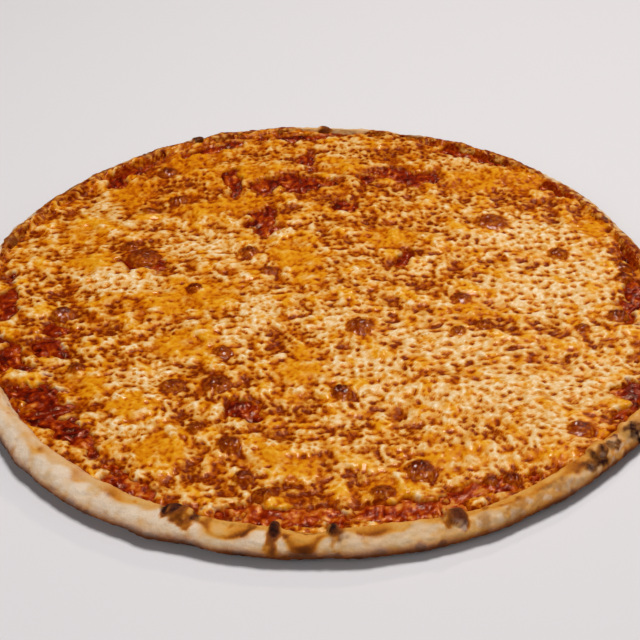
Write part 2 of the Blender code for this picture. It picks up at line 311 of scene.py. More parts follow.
def linear(code):
    """An sRGB hex colour as the linear red, green, blue and alpha of a shader."""
    channels = [int(code[i : i + 2], 16) / 255 for i in (1, 3, 5)]
    return [c / 12.92 if c <= 0.04045 else ((c + 0.055) / 1.055) ** 2.4 for c in channels] + [1.0]


def add(material, kind, settings=None, **links):
    """Adds a node of that kind. settings sets its own values, and links sets or joins its sockets.

    A socket goes by its name with _ for a space, or by its number after a _.
    """
    node = material.node_tree.nodes.new("ShaderNode" + kind)
    for name, value in (settings or {}).items():
        setattr(node, name, value)
    for name, value in links.items():
        socket = node.inputs[int(name[1:])] if name[0] == "_" else node.inputs[name.replace("_", " ")]
        if isinstance(value, bpy.types.NodeSocket):
            material.node_tree.links.new(value, socket)
        else:
            socket.default_value = value
    return node


def read(material, field):
    """The number that the mesh keeps under this name at each place."""
    return add(material, "Attribute", {"attribute_name": field}).outputs["Fac"]


def noise(material, where, scale, detail, roughness):
    """Cloudy noise from 0 to 1, its largest lumps 1 / scale metres wide."""
    links = {"Vector": where, "Scale": scale, "Detail": detail, "Roughness": roughness}
    return add(material, "TexNoise", **links).outputs["Fac"]


def span(material, value, **ends):
    """A number carried over in proportion from one range to another, and held at both ends.

    The ranges run from From_Min to From_Max and from To_Min to To_Max: 0 to 1 unless given.
    """
    return add(material, "MapRange", Value=value, **ends).outputs["Result"]


def reckon(material, operation, first, second, clamp=False):
    """The outcome of one operation on two numbers."""
    settings = {"operation": operation, "use_clamp": clamp}
    return add(material, "Math", settings, _0=first, _1=second).outputs["Value"]


def cover(material, share, under, over):
    """The colour under, hidden by the colour over to this share."""
    return add(material, "Mix", {"data_type": "RGBA"}, _0=share, _6=under, _7=over).outputs[2]


def ramp(material, factor, stops):
    """A colour ramp through (place, hex colour) stops, read at factor."""
    node = add(material, "ValToRGB", Fac=factor)
    points = node.color_ramp.elements
    while len(points) < len(stops):
        points.new(0.5)
    for point, (place, code) in zip(points, stops):
        point.position = place
        point.color = linear(code)
    return node.outputs["Color"]


def finish_of(name):
    """A new material with its Principled shader."""
    material = bpy.data.materials.new(name)
    material.use_nodes = True
    return material, material.node_tree.nodes["Principled BSDF"]


def outer_radius(angle):
    """The pizza's radius at each angle: a circle and the waves of its outline."""
    return PIZZA_RADIUS + waves(angle, OUTLINE_WAVES)


def rim_width(angle):
    """How far the rim reaches in from the outer edge at each angle."""
    return RIM_WIDTH + waves(angle, RIM_WIDTH_WAVES)


def rim_height(angle):
    """The height of the rim's crest above the table at each angle."""
    return RIM_HEIGHT + waves(angle, RIM_HEIGHT_WAVES)


def overrun(angle):
    """How much of the rim's width the topping covers at each angle: the largest of several smooth humps."""
    covered = 0 * angle
    for middle, spread, share in OVERRUNS:
        turn = np.abs(np.degrees(turn_from(middle, angle)))
        covered = np.maximum(covered, share * step(-turn / spread, -1.15, -0.75))
    return covered


def lip_hang(angle):
    """How far the golden edge hangs down at each angle, as a share of the rim's width."""
    hang = 0 * angle
    for middle, spread, reach in SCALLOPS:
        turn = np.degrees(turn_from(middle, angle))
        hang = hang + reach * np.exp(-((turn / spread) ** 2))
    return hang


def facing(angle, middle, low, high):
    """1 where the rim faces this middle in degrees, falling to 0 as the cosine goes from high to low."""
    return step(np.cos(angle - np.radians(middle)), low, high)


def dough_section(angle):
    """Rows of (radius, height) from the middle of the underside, out round the rim and back over the floor.

    The underside is flat. A quarter ellipse, wide and low, lifts the edge off the table, a narrow one rounds
    it over to the crest, a half cosine falls to the floor, and the floor runs level to the middle.
    """
    outer, width, height = outer_radius(angle), rim_width(angle), rim_height(angle)
    under, belly = UNDER_SHARE * width, BELLY_SHARE * width

    def rows(count, end=False):
        return np.linspace(0, 1, count, endpoint=end)[:, None]

    share = rows(UNDER_ROWS)[1:] ** 0.6
    radius = [share * (outer - under)]
    level = [share * 0 * outer]
    turn = np.pi / 2 * (1 - rows(LIFT_ROWS))
    radius.append(outer - under * (1 - np.cos(turn)))
    level.append(height / 2 * (1 - np.sin(turn)))
    turn = np.pi / 2 * rows(BELLY_ROWS)
    radius.append(outer - belly * (1 - np.cos(turn)))
    level.append(height / 2 * (1 + np.sin(turn)))
    share = rows(SLOPE_ROWS)
    radius.append(outer - belly - share * (width - belly))
    level.append(height + (BASE_THICKNESS - height) * (1 - np.cos(np.pi * share)) / 2)
    share = 1 - rows(FLOOR_ROWS)
    radius.append(share * (outer - width))
    level.append(share * 0 + BASE_THICKNESS + 0 * outer)
    return np.vstack(radius), np.vstack(level)


def turned_faces(rows, columns):
    """Quads between rows of a closed turned surface, and a fan of triangles at each of its two poles."""
    low = np.arange(rows - 1)[:, None] * columns + np.arange(columns)
    following = np.arange(rows - 1)[:, None] * columns + (np.arange(columns) + 1) % columns
    quads = np.stack([low, following, following + columns, low + columns], -1).reshape(-1, 4)
    ring = np.arange(columns)
    turned = (ring + 1) % columns
    bottom = np.stack([np.full(columns, rows * columns), turned, ring], -1)
    last = (rows - 1) * columns
    top = np.stack([np.full(columns, rows * columns + 1), ring + last, turned + last], -1)
    return quads.tolist() + bottom.tolist() + top.tolist()


def rim_swelling(angle, inward, places, upper):
    """How far each place moves out along its own normal in millimetres, and how much is burnt bubble."""
    share = inward / rim_width(angle)
    lumps = layered(places, DOUGH_LUMPS)
    swell = step(share, 1.15, 0.85) * np.minimum(places[2] / 3, 1) * (lumps + layered(places, DOUGH_GRAIN))
    swell -= LIP_DIP * lip_hang(angle) * upper * step(share, 0.30, 0.55)
    for middle, spread, height in RIM_SWELLS:
        turn = np.degrees(turn_from(middle, angle))
        across = (share - SWELL_PLACE) / SWELL_SPREAD
        swell += height * np.exp(-((turn / spread) ** 2) - across**2) * upper
    for middle, distance, half_width, half_length, height in RIM_BLISTERS:
        bulge = dome(away_from(angle, inward, middle, distance, half_width, half_length))
        swell += upper * bulge * (height - 0.7 * lumps)
    bubbles = 0 * swell
    for middle, distance, half_width in CHAR_BUBBLES:
        bulge = dome(away_from(angle, inward, middle, distance, half_width, half_width))
        bubbles = np.maximum(bubbles, upper * bulge)
    return swell + BUBBLE_HEIGHT * bubbles, bubbles


def rim_marks(marks, angle, inward, wobble):
    """The strength of the strongest mark at each place. The wobble makes their outlines ragged."""
    strongest = 0 * inward
    for middle, distance, half_width, half_length, strength in marks:
        ragged = wobble * min(1, half_width / half_length + 0.3)
        spot = away_from(angle, inward, middle, distance, half_width, half_length) + ragged
        strongest = np.maximum(strongest, strength * step(-spot, -1.3, -0.4))
    return strongest


def dough_fields(angle, inward, places, row, upper, bubbles):
    """How baked, scorched, floury and stained with topping each place of the dough is, with painted shade
    added at the rim's foot and on its right front.
    """
    level = places[2]
    wobble = layered(places, MARK_WOBBLE)
    toast = rim_marks(RIM_TOAST, angle, inward, wobble) * upper
    scorch_and_shade = rim_marks(RIM_SCORCH, angle, inward, wobble) * upper
    patchy = ripples(places, 14, 38)
    share = inward / rim_width(angle) + 0.05 * ripples(places, 9, 42)
    hang = lip_hang(angle)
    brink = LIP_PLACE - hang
    lip = step(share, brink - 0.07, brink + 0.09) * (row < len(row) - FLOOR_ROWS)
    caramel = np.exp(-(((share - brink - 0.05) / 0.13) ** 2)) * upper * step(hang, 0.02, 0.3)
    golden = 0.45 + 0.55 * facing(angle, GOLDEN_SIDE, 0.2, 0.85)
    # below and foot darken the underside and the lower outer face of the rim: partly real baking, partly
    # painted shade where the rim curves down to the table. Flour is cleared there too.
    below = (row < UNDER_ROWS - 1 + LIFT_ROWS) * step(-level, -3.4, -0.3)
    freckles = step(ripples(places, 6, 37), 0.7, 1.8) * 0.16
    foot = step(-level / rim_height(angle), -0.90, -0.40) * (row < UNDER_ROWS + LIFT_ROWS + BELLY_ROWS // 2)

    bake_and_foot_shade = 0.12 + golden * (0.17 * lip + 0.27 * caramel) + 0.24 * below + 0.60 * foot
    bake_and_foot_shade += 0.05 * patchy + freckles
    bake_and_foot_shade += 0.16 * below * step(ripples(places, 9, 39), 0.3, 1.2)
    bake_and_foot_shade = np.maximum(bake_and_foot_shade, toast + 0.05)

    flour = np.clip(1 - golden * (lip + 1.3 * caramel), 0, 1) * (1 - 0.8 * below) * (1 - foot)
    flour *= 1 - step(toast, 0.1, 0.4)
    flour *= 0.34 + 0.66 * facing(angle, FLOURY_SIDE, 0.25, 0.9)
    flour *= np.clip(0.88 + layered(places, FLOUR_PATCHES), 0, 1)

    # The right front is smoky and darkened with painted shade, where its outer face turns from the light,
    # with chalky flour left on it
    face = facing(angle, SMOKY_SHADED_SIDE, 0.92, 0.98) * upper * (1 - lip)
    smoke_and_shade = 0.42 * face * step(ripples(places, 9, 44), -0.6, 1.2)
    scorch_and_shade = np.maximum(np.maximum(scorch_and_shade, 0.9 * bubbles), smoke_and_shade)
    chalk = step(ripples(places, 4.5, 45), 0.5, 1.1) * step(-share, -0.42, -0.2)
    flour = np.maximum(flour, 0.6 * face * chalk * (1 - foot))

    reach = 0.92 - 0.85 * overrun(angle) + layered(places, STAIN_WOBBLE)
    stain = step(share, reach, reach + 0.12) * (row >= UNDER_ROWS + LIFT_ROWS // 2)
    stain = np.maximum(stain, step(inward / rim_width(angle) + 0.05 * wobble, 0.86, 0.94))
    return {"bake_and_foot_shade": bake_and_foot_shade, "scorch_and_shade": scorch_and_shade, "flour": flour, "stain": stain}


def make_dough():
    """The turned section, swollen along its own normals by lumps, blisters and a floury grain."""
    angle = np.arange(DOUGH_COLUMNS) * 2 * np.pi / DOUGH_COLUMNS
    radius, level = dough_section(angle)
    inward = outer_radius(angle) - radius
    along_r, along_z = np.gradient(radius, axis=0), np.gradient(level, axis=0)
    size = np.hypot(along_r, along_z)
    x, y = radius * np.cos(angle), radius * np.sin(angle)
    row = np.arange(len(radius))[:, None]
    upper = (row >= UNDER_ROWS - 1 + LIFT_ROWS) & (row < len(radius) - FLOOR_ROWS)
    swell, bubbles = rim_swelling(angle, inward, (x, y, level), upper)
    radius = radius + along_z / size * swell
    level = np.maximum(level - along_r / size * swell, 0)
    fields = dough_fields(angle, inward, (x, y, level), row, upper, bubbles)

    x, y = radius * np.cos(angle), radius * np.sin(angle)
    places = np.stack([x, y, level], -1).reshape(-1, 3)
    places = np.vstack([places, [[0, 0, 0], [0, 0, BASE_THICKNESS]]])
    fields = {name: np.append(values.ravel(), POLE_VALUES[name]) for name, values in fields.items()}
    return new_mesh("baked_dough", places, turned_faces(len(radius), DOUGH_COLUMNS), fields)


def baked_dough_finish():
    """Wheat crust: matt and floury where it is pale, golden and waxy at the lip, black where it charred."""
    material, shader = finish_of("stone baked wheat dough")
    where = add(material, "TexCoord").outputs["Object"]
    scorch_and_shade, stain = read(material, "scorch_and_shade"), read(material, "stain")
    # Crumb of about 1.2 mm and flour grains of about 0.5 mm
    crumb = noise(material, where, 800, 4, 0.6)
    powder = noise(material, where, 1900, 2, 0.5)
    uneven = span(material, crumb, To_Min=-0.10, To_Max=0.10)
    # The crust's colour from its bake, which includes painted shade at the rim's foot
    colour = ramp(material, reckon(material, "ADD", read(material, "bake_and_foot_shade"), uneven), BAKE_AND_SHADE_COLOURS)
    dust = span(material, powder, From_Min=0.3, From_Max=0.7, To_Min=0.66, To_Max=1.0)
    dusted = reckon(material, "MULTIPLY", read(material, "flour"), dust)
    colour = cover(material, dusted, colour, linear(FLOUR_COLOUR))
    # Jam and browned cheese that ran up on to the dough, in lumps of about 3 mm
    clots = noise(material, where, 330, 3, 0.55)
    colour = cover(material, stain, colour, ramp(material, clots, STAIN_COLOURS))
    # Scorched spots and the painted shade of the right front, less burnt where their ash is thick
    ashy = span(material, clots, From_Min=0.3, From_Max=0.7, To_Min=-0.34, To_Max=0.10)
    soot_and_shade = reckon(material, "ADD", scorch_and_shade, reckon(material, "MULTIPLY", ashy, scorch_and_shade))
    charred_and_shaded = span(material, soot_and_shade, From_Min=0.06, From_Max=0.85)
    colour = cover(material, charred_and_shaded, colour, ramp(material, soot_and_shade, SCORCH_AND_SHADE_COLOURS))
    bump = add(material, "Bump", Height=crumb, Strength=0.6, Distance=0.0006)
    link = material.node_tree.links.new
    link(colour, shader.inputs["Base Color"])
    link(bump.outputs["Normal"], shader.inputs["Normal"])
    link(span(material, stain, To_Min=0.8, To_Max=0.4), shader.inputs["Roughness"])
    shader.inputs["Specular IOR Level"].default_value = 0.12
    return material


dough = make_dough()
dough.data.materials.append(baked_dough_finish())
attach(dough, "root")
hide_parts("crust")


# The tomato sauce.
# Crushed tomatoes spread with a ladle and baked to a thick, oily, red-brown jam. It shows in patches where
# the cheese is missing, and in many places along the foot of the rim.

SAUCE_FLOOR = 3.8
SAUCE_TOP = 5.0
SAUCE_WELLS_UP = 1.5
SAUCE_CELLS = 260

# How far out the sauce reaches, as a share of the rim's width in from its outer edge
SAUCE_EDGE = 0.84

# Ripples of the sauce: wavelength in millimetres, height, seed
SAUCE_LUMPS = ((5.5, 0.28, 51), (2.8, 0.16, 52))

# Where the sauce shows: x, y, half length, half width, turn
BARE_SAUCE = (
    (42, 100, 20, 7, -10),
    (-12, 97, 20, 7, 5),
    (-26, 66, 8, 10, 0),
    (12, 76, 6, 5, 0),
    (-30, -70, 12, 5, -38),
    (-113, -28, 8, 7, 0),
    (38, 33, 4, 5, 0),
    (-5, 117, 5, 7, 0),
    (-40, 100, 5, 11, 0),
    (-92, 106, 14, 5, 48),
    (-112, -62, 18, 10, -70),
    (-98, -80, 16, 7, -50),
    (124, -68, 7, 13, 0),
    (-15, -128, 26, 6, -4),
    (32, -127, 26, 6, 4),
    (72, 121, 20, 4, -32),
    (117, 84, 5, 12, 40),
    (139, 34, 4, 10, 12),
    (136, 6, 5, 9, 0),
    (132, -8, 6, 8, 0),
    (-78, 34, 10, 6, -30),
    (-134, 6, 4, 16, 0),
    (-52, 128, 16, 3.5, 24),
    (-6, 139, 18, 2.5, 0),
    (-72, -112, 14, 5, -40),
    (62, -115, 22, 4, 18),
    (-129, -32, 5, 13, 10),
    (-113, -15, 8, 4, 15),
)

# Colours of the sauce from deep red to orange
SAUCE_COLOURS = (
    (0.0, "#400400"),
    (0.25, "#660E00"),
    (0.45, "#841C00"),
    (0.65, "#A63600"),
    (0.8, "#C25A0C"),
    (1.0, "#D88838"),
)


def spots(x, y, places, rough):
    """The height above the wobbly outlines of these ellipses: 1 in the middle of one, 0 on its outline."""
    highest = np.full(x.shape, -9.0)
    for middle_x, middle_y, half_length, half_width, degrees in places:
        c, s = np.cos(np.radians(degrees)), np.sin(np.radians(degrees))
        along = ((x - middle_x) * c + (y - middle_y) * s) / half_length
        across = ((y - middle_y) * c - (x - middle_x) * s) / half_width
        highest = np.maximum(highest, 1 - np.hypot(along, across) - rough)
    return highest


def disc_grid(cells, edge_radius):
    """A square grid bent to a disc that reaches edge_radius at each angle: x, y and share of the radius.

    A square ring at distance d from the middle becomes the circle of radius d, its corners at 45 degrees.
    """
    line = np.linspace(-1, 1, cells + 1)
    across, along = np.meshgrid(line, line, indexing="ij")
    wide = np.abs(across) > np.abs(along)
    safe_across = np.where(across == 0, 1, across)
    safe_along = np.where(along == 0, 1, along)
    share = np.where(wide, across, along)
    turn = np.where(wide, np.pi / 4 * along / safe_across, np.pi / 2 - np.pi / 4 * across / safe_along)
    angle = np.arctan2(share * np.sin(turn), share * np.cos(turn))
    share = np.abs(share)
    reach = share * edge_radius(angle)
    return reach * np.cos(angle), reach * np.sin(angle), share


def sheet_faces(cells):
    """Quads on top, a wall round them and one flat face underneath, and the order of the grid's edge."""
    index = np.arange((cells + 1) ** 2).reshape(cells + 1, cells + 1)
    top = np.stack([index[:-1, :-1], index[1:, :-1], index[1:, 1:], index[:-1, 1:]], -1).reshape(-1, 4)
    rim = np.concatenate([index[:-1, 0], index[-1, :-1], index[:0:-1, -1], index[0, :0:-1]])
    lower = (cells + 1) ** 2 + np.arange(len(rim))
    wall = np.stack([rim, lower, np.roll(lower, -1), np.roll(rim, -1)], -1)
    return top.tolist() + wall.tolist() + [lower[::-1].tolist()], rim


def make_sheet(name, x, y, level, floor, fields):
    """A closed sheet with this top over a flat underside at floor."""
    faces, rim = sheet_faces(len(x) - 1)
    top = np.stack([x, y, level], -1).reshape(-1, 3)
    bottom = top[rim].copy()
    bottom[:, 2] = floor
    kept = {field: np.append(values.ravel(), values.ravel()[rim]) for field, values in fields.items()}
    return new_mesh(name, np.vstack([top, bottom]), faces, kept)


def topping_fields(x, y):
    """The fields that shape and colour the topping at each place, each about one unit high.

    The places are first shifted a little by slow ripples, so that the pattern isn't regular.
    """
    shifted = (x + 0.45 * ripples((x, y), 17, 1, count=24), y + 0.45 * ripples((x, y), 17, 3, count=24))
    fields = {
        "broad": ripples((x, y), 40, 5, 0.3, 24),
        "patch": ripples(shifted, 16, 6, 0.35, 32),
        "halo": ripples(shifted, 8.5, 18, 0.25, 40),
        "curd": ripples(shifted, 4.4, 7, 0.28, 56),
        "fine": ripples(shifted, 2.5, 8, 0.3, 40),
    }
    rough = 0.17 * fields["patch"] + 0.14 * ripples(shifted, 9, 9, 0.3, 32)
    angle, radius = np.arctan2(y, x), np.hypot(x, y)
    from_rim = outer_radius(angle) - rim_width(angle) - radius
    edge = step(-from_rim - 9 * rough, -7.0, 0.0)
    bare = step(spots(x, y, BARE_SAUCE, rough) + 0.10 * fields["curd"], -0.15, 0.45)
    fields.update(rough=rough, edge=edge, bare=bare)
    return fields


def sauce_edge(angle):
    """The radius at which the sauce ends, on the slope of the rim."""
    return outer_radius(angle) - SAUCE_EDGE * rim_width(angle)


def make_sauce():
    """The sheet of sauce: 5 mm and 2.5 mm lumps, and higher where no cheese presses on it."""
    x, y, share = disc_grid(SAUCE_CELLS, sauce_edge)
    fields = topping_fields(x, y)
    lumps = layered((x, y), SAUCE_LUMPS)
    level = SAUCE_TOP + SAUCE_WELLS_UP * step(fields["bare"], 0.1, 0.8) * (share < 0.999) + lumps
    jam = 0.42 + 0.14 * fields["curd"] + 0.10 * fields["fine"] + 0.12 * ripples((x, y), 12, 53)
    # Lighter at the front, and a little darker at the left front
    jam += 0.20 * step(-y, 70, 115) - 0.04 * step(-x, 70, 110) * step(-y, 20, 50)
    return make_sheet("sauce_layer", x, y, level, SAUCE_FLOOR, {"jam": jam})


def baked_sauce_finish():
    """Tomato sauce: a wet, dark red gel with orange oil on it, glossy, with sharp small lights."""
    material, shader = finish_of("baked tomato sauce")
    where = add(material, "TexCoord").outputs["Object"]
    # Pulp of about 1.5 mm
    pulp = noise(material, where, 650, 3, 0.6)
    uneven = span(material, pulp, To_Min=-0.2, To_Max=0.2)
    colour = ramp(material, reckon(material, "ADD", read(material, "jam"), uneven), SAUCE_COLOURS)
    bump = add(material, "Bump", Height=pulp, Strength=0.5, Distance=0.0006)
    link = material.node_tree.links.new
    link(colour, shader.inputs["Base Color"])
    link(bump.outputs["Normal"], shader.inputs["Normal"])
    shader.inputs["Roughness"].default_value = 0.26
    shader.inputs["Specular IOR Level"].default_value = 0.35
    shader.inputs["Specular Tint"].default_value = linear("#FFAE78")
    shader.inputs["Coat Weight"].default_value = 0.08
    shader.inputs["Coat Roughness"].default_value = 0.12
    return material


sauce = make_sauce()
sauce.data.materials.append(baked_sauce_finish())
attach(sauce, "root")
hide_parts("tomato_sauce")


# The melted cheese.
# Grated low-moisture mozzarella melted to a sheet of pale curds. Steam leaves pores 3 to 5 mm apart, where
# browned sauce and oil show, orange fat pools in places, and bubbles toast to dark glossy blisters.

CHEESE_FLOOR = 4.5
CHEESE_TOP = 7.3
CHEESE_CELLS = 306

# Where the cheese ends, as a share of the rim's width in from its outer edge, and how it is rounded off
CHEESE_EDGE = 0.80
END_LENGTH = 1.8
END_DEPTH = 1.6

# How thick it lies on the slope of the rim, and how deep it is missing in bare patches
RIM_FILM = 0.45
BARE_DEPTH = 3.2

# Its pits: spacing, how far each is moved in spacings, depth and seed
PIT_SPACING = 4.2
PIT_SHIFT = 0.36
PIT_DEPTH = 0.50
PIT_SEED = 11

# Pale zones: x, y, half length, half width, turn
CREAM_ZONES = (
    (-89, 19, 24, 10, -8),
    (-26, -7, 8, 18, -10),
    (-37, -22, 6, 5, 0),
    (-54, 46, 18, 9, 0),
    (92, 52, 24, 16, 0),
    (98, 2, 28, 20, 0),
    (72, -62, 28, 16, 20),
    (100, -58, 18, 14, 0),
    (-69, -46, 13, 9, 0),
    (55, -32, 20, 14, 0),
    (-102, 78, 10, 18, 0),
    (8, -77, 7, 4, 0),
    (45, 27, 9, 8, 0),
    (-17, 54, 7, 5, 0),
    (70, 112, 14, 8, -30),
    (16, 121, 12, 14, 0),
    (-78, -80, 12, 7, 0),
    (18, -42, 18, 10, 0),
    (4, -13, 10, 10, 0),
    (112, 24, 16, 18, 0),
    (60, -101, 14, 6, 0),
    (27, -60, 9, 7, 0),
    (34, -22, 9, 6, 0),
    (115, -48, 13, 14, 0),
    (90, -79, 12, 8, 20),
)

# Zones where the pores stand close and even
EVEN_ZONES = (
    (88, 2, 46, 62, 0),
    (30, -48, 34, 22, -20),
)

# Pools of orange fat
OIL_ZONES = (
    (-10, 34, 10, 22, 20),
    (-58, 6, 26, 12, 8),
    (-55, -26, 14, 9, 0),
    (-100, 34, 12, 8, 0),
    (-105, 60, 10, 12, 0),
    (-62, -92, 12, 9, 0),
    (25, -116, 11, 6, 0),
    (-8, -103, 9, 7, 0),
    (76, 96, 16, 10, 0),
    (12, 112, 12, 8, 0),
    (-38, 105, 18, 8, 0),
    (-42, 77, 24, 9, 15),
    (-95, -54, 10, 8, 0),
    (-20, -97, 8, 7, 0),
    (125, 54, 7, 12, 0),
    (-8, -46, 12, 7, 0),
    (33, 50, 14, 8, 0),
    (-75, -66, 10, 8, 0),
    (100, 95, 12, 12, 0),
    (68, -6, 12, 7, 0),
    (-88, 88, 12, 12, 0),
    (-60, 118, 18, 10, 30),
    (50, -99, 14, 6, 0),
    (106, -86, 6, 4, 0),
    (-6, -34, 6, 5, 0),
    (86, -99, 8, 4, 0),
)

# Zones where the cheese is thin and browned
BROWN_ZONES = (
    (-70, 112, 40, 16, 38),
    (32, 122, 28, 8, 0),
    (96, 93, 28, 10, -42),
    (5, 88, 34, 9, 0),
    (-106, -9, 10, 6, 10),
    (-110, 86, 17, 7, 62),
    (40, 100, 26, 12, -10),
    (-14, 98, 28, 12, 5),
    (-24, 70, 13, 14, 0),
    (12, 78, 12, 10, 0),
    (-32, -66, 18, 8, -38),
    (-120, -24, 14, 13, 0),
    (24, 62, 13, 10, 0),
    (38, 36, 8, 10, 0),
    (45, 12, 10, 7, 0),
    (-82, 41, 12, 9, -20),
    (-85, 82, 16, 14, 0),
    (-58, 82, 17, 12, 0),
    (108, 80, 18, 16, -40),
    (76, -17, 28, 8, -10),
    (-40, -50, 20, 8, 0),
    (-20, -25, 8, 8, 0),
    (123, -64, 8, 13, 0),
    (8, -84, 8, 6, 0),
    (-95, -10, 12, 10, 0),
    (-93, -60, 8, 7, 0),
    (-50, -105, 16, 8, 0),
    (72, -112, 9, 5, 10),
    (0, -120, 30, 8, 0),
    (126, -17, 7, 10, 0),
    (-110, 15, 8, 8, 0),
    (-80, 2, 18, 7, 0),
    (-86, -39, 9, 7, 0),
    (-18, -81, 9, 6, 0),
    (-4, -100, 11, 5, 0),
    (8, 49, 9, 6, 0),
)

# Toasted blisters, all shorter than wide by one share: x, y, half width, height, darkness
BLISTER_SQUASH = 0.9
BLISTERS = (
    (-110, -4, 4.6, 1.9, 0.9),
    (-54, 13, 3.6, 1.5, 1.0),
    (-78, 37, 6.8, 1.4, 0.6),
    (-85, 46, 3.6, 1.4, 0.8),
    (-78, 73, 4.0, 2.0, 0.9),
    (-66, 83, 3.8, 1.8, 0.8),
    (-72, 108, 4.0, 1.8, 0.8),
    (-31, 39, 4.2, 1.7, 0.8),
    (-22, 25, 3.2, 1.4, 0.7),
    (17, -17, 6.0, 1.5, 0.4),
    (8, -60, 4.6, 1.9, 1.0),
    (-60, -53, 4.8, 1.8, 0.6),
    (-42, -53, 5.6, 1.6, 0.7),
    (-49, -80, 3.8, 1.7, 0.6),
    (-36, -90, 5.0, 2.0, 0.7),
    (-30, -108, 4.0, 2.2, 0.9),
    (-22, -118, 4.2, 1.9, 0.8),
    (37, -106, 6.0, 2.2, 0.9),
    (71, -111, 3.8, 2.2, 1.0),
    (22, -118, 4.6, 1.8, 0.6),
    (101, -84, 5.0, 2.0, 0.6),
    (107, 34, 4.6, 1.9, 0.5),
    (134, 22, 3.6, 1.6, 1.0),
    (69, -17, 3.8, 1.5, 0.6),
    (58, -21, 3.2, 1.2, 0.3),
    (80, 59, 7.4, 1.4, 0.2),
    (-100, -42, 3.8, 1.5, 0.7),
    (126, -13, 4.2, 1.7, 0.9),
    (61, 2, 4.0, 1.2, 0.6),
    (-40, -32, 3.6, 1.2, 0.2),
    (133, 15, 3.6, 1.5, 0.9),
    (110, -20, 3.0, 1.3, 0.5),
    (63, -112, 2.8, 1.4, 0.9),
)

# Colours of the cheese from browned to cream, where it is dry and where fat covers it
CURD_COLOURS = (
    (0.0, "#541000"),
    (0.14, "#7E2C00"),
    (0.27, "#A64E04"),
    (0.38, "#C47014"),
    (0.48, "#D48E34"),
    (0.58, "#DEA452"),
    (0.70, "#E8B874"),
    (0.84, "#F2CE98"),
    (1.0, "#FEECCC"),
)
FAT_COLOURS = (
    (0.0, "#560E00"),
    (0.14, "#802800"),
    (0.27, "#A84600"),
    (0.40, "#C66400"),
    (0.52, "#DC8408"),
    (0.64, "#E69610"),
    (0.77, "#EEA828"),
    (0.89, "#F4BC58"),
    (1.0, "#F8D08C"),
)

# Colours of the film in bare patches, of the blisters' skin and of their dark cores, which are partly
# painted shade
BARE_COLOURS = ((0.3, "#620E00"), (0.5, "#8C2600"), (0.7, "#BC5410"))
SKIN_COLOURS = ((0.3, "#7A2000"), (0.5, "#A04000"), (0.7, "#D07C1E"))
CORE_AND_SHADE_COLOURS = ((0.3, "#340600"), (0.5, "#5E1400"), (0.7, "#963C06"))


def cheese_edge(angle):
    """The radius at which the cheese ends: on the slope of the rim, and past the crest where it overran."""
    ragged = 0.05 * ripples((PIZZA_RADIUS * np.cos(angle), PIZZA_RADIUS * np.sin(angle)), 15, 47)
    return outer_radius(angle) - (CHEESE_EDGE + ragged - 0.34 * overrun(angle)) * rim_width(angle)


def dough_top(angle, inward):
    """The height of the dough's upper face at this distance in from the outer edge, without its lumps."""
    width, height = rim_width(angle), rim_height(angle)
    crest = BELLY_SHARE * width
    outside = height / 2 * (1 + np.sqrt(np.clip(1 - (1 - inward / crest) ** 2, 0, 1)))
    fall = np.clip((inward - crest) / (width - crest), 0, 1)
    inside = height + (BASE_THICKNESS - height) * (1 - np.cos(np.pi * fall)) / 2
    return np.where(inward < crest, outside, inside)


def pits(x, y, spacing, shift, seed):
    """How far each place is from the nearest pit, in spacings, and a random share that belongs to that pit.

    The pits lie on a square grid, each moved both ways by up to shift of a spacing.
    """
    draw = np.random.default_rng(seed)
    cells = int(2.4 * PIZZA_RADIUS / spacing)
    moved = draw.uniform(0.5 - shift, 0.5 + shift, (2, cells, cells))
    chance = draw.uniform(0, 1, (cells, cells))
    u, v = x / spacing + cells / 2, y / spacing + cells / 2
    nearest, own = np.full(x.shape, 9.0), 0 * x
    for over in (-1, 0, 1):
        for up in (-1, 0, 1):
            i, j = np.floor(u).astype(int) + over, np.floor(v).astype(int) + up
            away = np.hypot(i + moved[0, i, j] - u, j + moved[1, i, j] - v)
            own = np.where(away < nearest, chance[i, j], own)
            nearest = np.minimum(nearest, away)
    return nearest, own


def cheese_tone(f, cream, oil, brown, even):
    """The tone of the cheese from browned to cream, and how much fat lies on it."""
    level = 1.15 * cream - 1.05 * brown + 0.22 * even
    level += (1 - 0.30 * cream) * (0.22 * f["broad"] + 0.45 * f["patch"] + 0.60 * f["halo"])
    level += (0.52 - 0.12 * even) * f["curd"]
    level *= 1 - 0.62 * oil
    pore = step(-f["curd"] - 0.2 * f["fine"], 0.4, 1.7) * 0.35
    tone = 0.55 + 0.34 * np.tanh(0.75 * level + 0.10) + 0.06 * f["fine"] - 0.24 * pore * (1 - 0.5 * oil)
    grease = 0.36 + 0.9 * oil - 0.55 * cream + 0.1 * brown
    grease += 0.24 * f["patch"] - 0.30 * f["halo"] + 0.5 * pore
    return tone, grease


def blisters(x, y, f):
    """The height of the blisters at each place, how toasted it is, and their dark cores, set toward the back
    as painted shade.
    """
    height, toast, core_and_back_shade = 0 * x, 0 * x, 0 * x
    for middle_x, middle_y, half_width, rise, dark in BLISTERS:
        across, along = x - middle_x, (y - middle_y) / BLISTER_SQUASH
        distance = np.hypot(across, along) / half_width + 0.35 * f["rough"]
        height += rise * dome(distance) * (1 + 0.15 * f["fine"])
        toast = np.maximum(toast, step(-distance, -1.35, -0.75))
        # The dark core is moved toward the back of each blister: painted shade on its far side
        behind = np.hypot(across, along - 0.28 * half_width) / half_width
        core_and_back_shade = np.maximum(core_and_back_shade, (0.3 + 0.7 * dark) * step(-behind - 0.12 * f["curd"], -0.95, -0.45))
    return height, toast, core_and_back_shade


